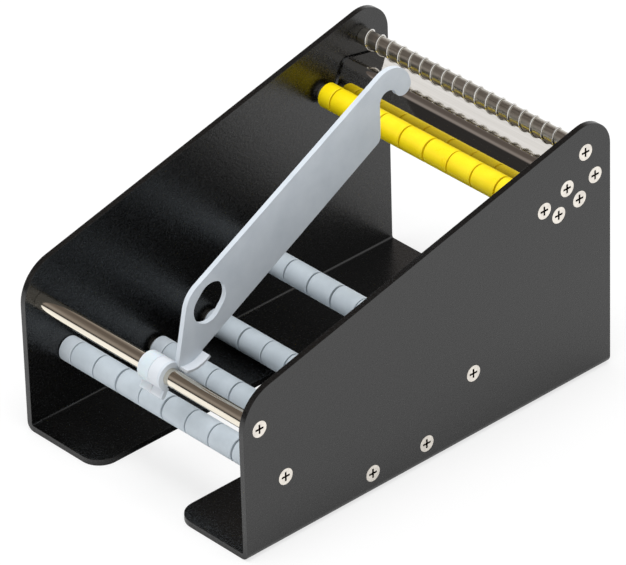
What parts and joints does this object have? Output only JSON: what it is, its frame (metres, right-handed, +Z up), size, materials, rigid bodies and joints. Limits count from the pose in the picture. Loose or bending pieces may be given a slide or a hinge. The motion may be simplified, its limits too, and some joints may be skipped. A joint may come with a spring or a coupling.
{
  "type": "label dispenser",
  "caption": "Desktop label dispenser: two bent side plates carry rows of loose roller sleeves, a sliding guide arm, a sprung bar and a bent peel plate.",
  "frame": {"origin": "middle of the footprint, on the surface that the foot flanges rest on", "axes": "+X across the machine along the rollers, +Y towards the peeling edge at the back, +Z up"},
  "size_m": [0.144, 0.218, 0.1622],
  "materials": {
    "plate_paint": "fine textured semi-gloss black powder coat",
    "screw_metal": "bright nickel plated",
    "bright_bar": "polished chrome",
    "rod_steel": "drawn bright steel",
    "spring_wire": "bright wire",
    "grey_sleeve": "satin moulded plastic",
    "pale_ring": "satin moulded plastic",
    "yellow_sleeve": "smooth moulded plastic",
    "mirror_sheet": "mirror polished stainless steel",
    "clip_plastic": "satin moulded plastic",
    "arm_plastic": "satin silver-grey moulded plastic"
  },
  "bodies": {
    "frame": {"left_side_plate": "plate_paint", "right_side_plate": "plate_paint", "left_screws": "screw_metal", "right_screws": "screw_metal", "front_bar": "bright_bar", "spring_bar": "rod_steel", "bar_spring": "spring_wire", "roller_1_rod": "rod_steel", "roller_2_rod": "rod_steel", "roller_3_rod": "rod_steel", "roller_4_rod": "rod_steel", "yellow_roller_rod": "rod_steel", "roller_1_stop_rings": "pale_ring", "roller_2_stop_rings": "pale_ring", "roller_3_stop_rings": "pale_ring", "roller_4_stop_rings": "pale_ring", "yellow_stop_rings": "yellow_sleeve", "peel_plate": "mirror_sheet", "peel_low_rod": "rod_steel", "peel_front_rod": "rod_steel", "peel_edge_rod": "rod_steel", "backing_guide_rod": "rod_steel"},
    "roller_1": {"roller_1_sleeves": "grey_sleeve"},
    "roller_2": {"roller_2_sleeves": "grey_sleeve"},
    "roller_3": {"roller_3_sleeves": "grey_sleeve"},
    "roller_4": {"roller_4_sleeves": "grey_sleeve"},
    "yellow_roller": {"yellow_sleeves": "yellow_sleeve"},
    "clip": {"bar_clip": "clip_plastic"},
    "arm": {"guide_arm": "arm_plastic"}
  },
  "joints": [
    {"name": "roller_1_spin", "type": "hinge", "parent": "frame", "child": "roller_1", "pos_m": [0, -0.0859, 0.0333], "axis": [1, 0, 0], "continuous": true},
    {"name": "roller_2_spin", "type": "hinge", "parent": "frame", "child": "roller_2", "pos_m": [0, -0.0356, 0.0105], "axis": [1, 0, 0], "continuous": true},
    {"name": "roller_3_spin", "type": "hinge", "parent": "frame", "child": "roller_3", "pos_m": [0, -0.0035, 0.0106], "axis": [1, 0, 0], "continuous": true},
    {"name": "roller_4_spin", "type": "hinge", "parent": "frame", "child": "roller_4", "pos_m": [0, 0.025, 0.0338], "axis": [1, 0, 0], "continuous": true},
    {"name": "yellow_roller_spin", "type": "hinge", "parent": "frame", "child": "yellow_roller", "pos_m": [0, 0.0687, 0.09765], "axis": [1, 0, 0], "continuous": true},
    {"name": "clip_slide", "type": "slide", "parent": "frame", "child": "clip", "axis": [1, 0, 0], "range_m": [-0.069, 0.046]},
    {"name": "arm_swing", "type": "hinge", "parent": "clip", "child": "arm", "pos_m": [0.0092, -0.0998, 0.0642], "axis": [1, 0, 0], "range_deg": [-18.5, 95]}
  ]
}
